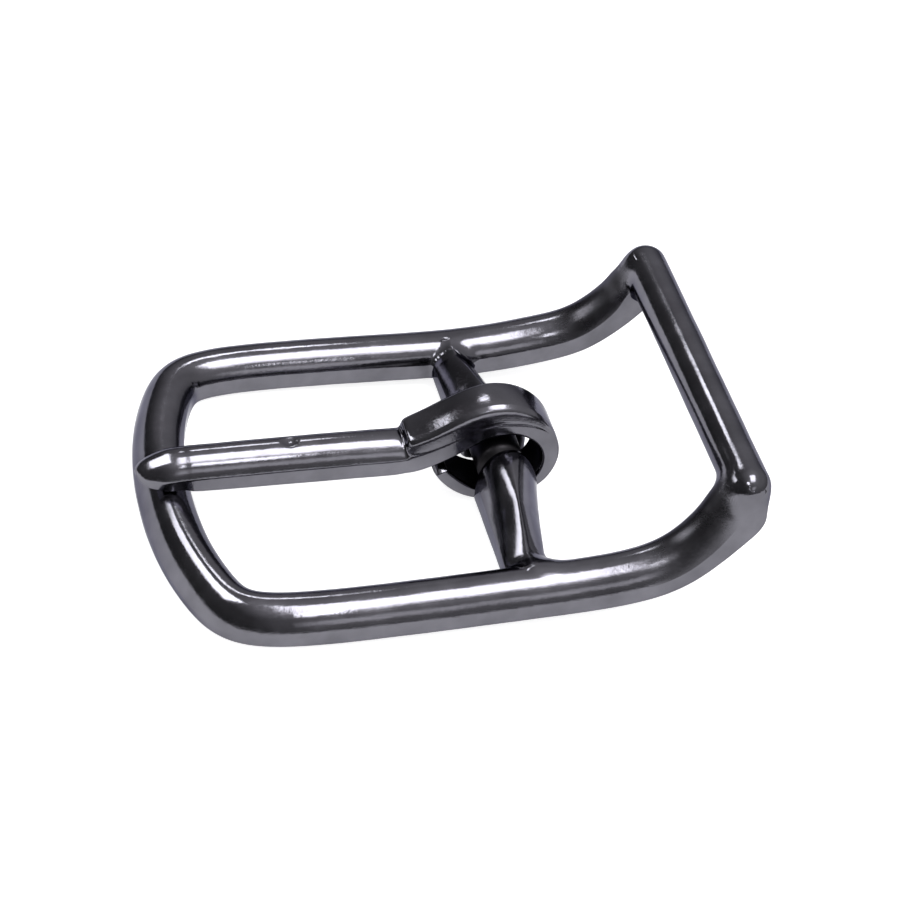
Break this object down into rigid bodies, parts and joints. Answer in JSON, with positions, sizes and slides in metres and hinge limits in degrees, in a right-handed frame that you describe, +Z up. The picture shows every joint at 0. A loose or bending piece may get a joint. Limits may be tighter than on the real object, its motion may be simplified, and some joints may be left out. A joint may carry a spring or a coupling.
{
  "type": "strap buckle",
  "caption": "Cast metal strap buckle: bowed loop, fixed centre bar, raised end bar with ball ends, and a tongue that turns on the centre bar.",
  "frame": {"origin": "middle of the footprint, on the table that the buckle lies on", "axes": "+X from the bowed bar towards the raised bar, +Y along the bars, +Z up from the table"},
  "size_m": [0.0588, 0.0438, 0.0155],
  "materials": {
    "frame_metal": "polished dark gunmetal plating over a cast body",
    "tongue_metal": "polished dark gunmetal plating over a cast body"
  },
  "bodies": {
    "frame": {"frame": "frame_metal"},
    "tongue": {"tongue": "tongue_metal"}
  },
  "joints": [
    {"name": "tongue_hinge", "type": "hinge", "parent": "frame", "child": "tongue", "pos_m": [0.00708, 0, 0.00509], "axis": [0, 1, 0], "range_deg": [0, 140]}
  ]
}
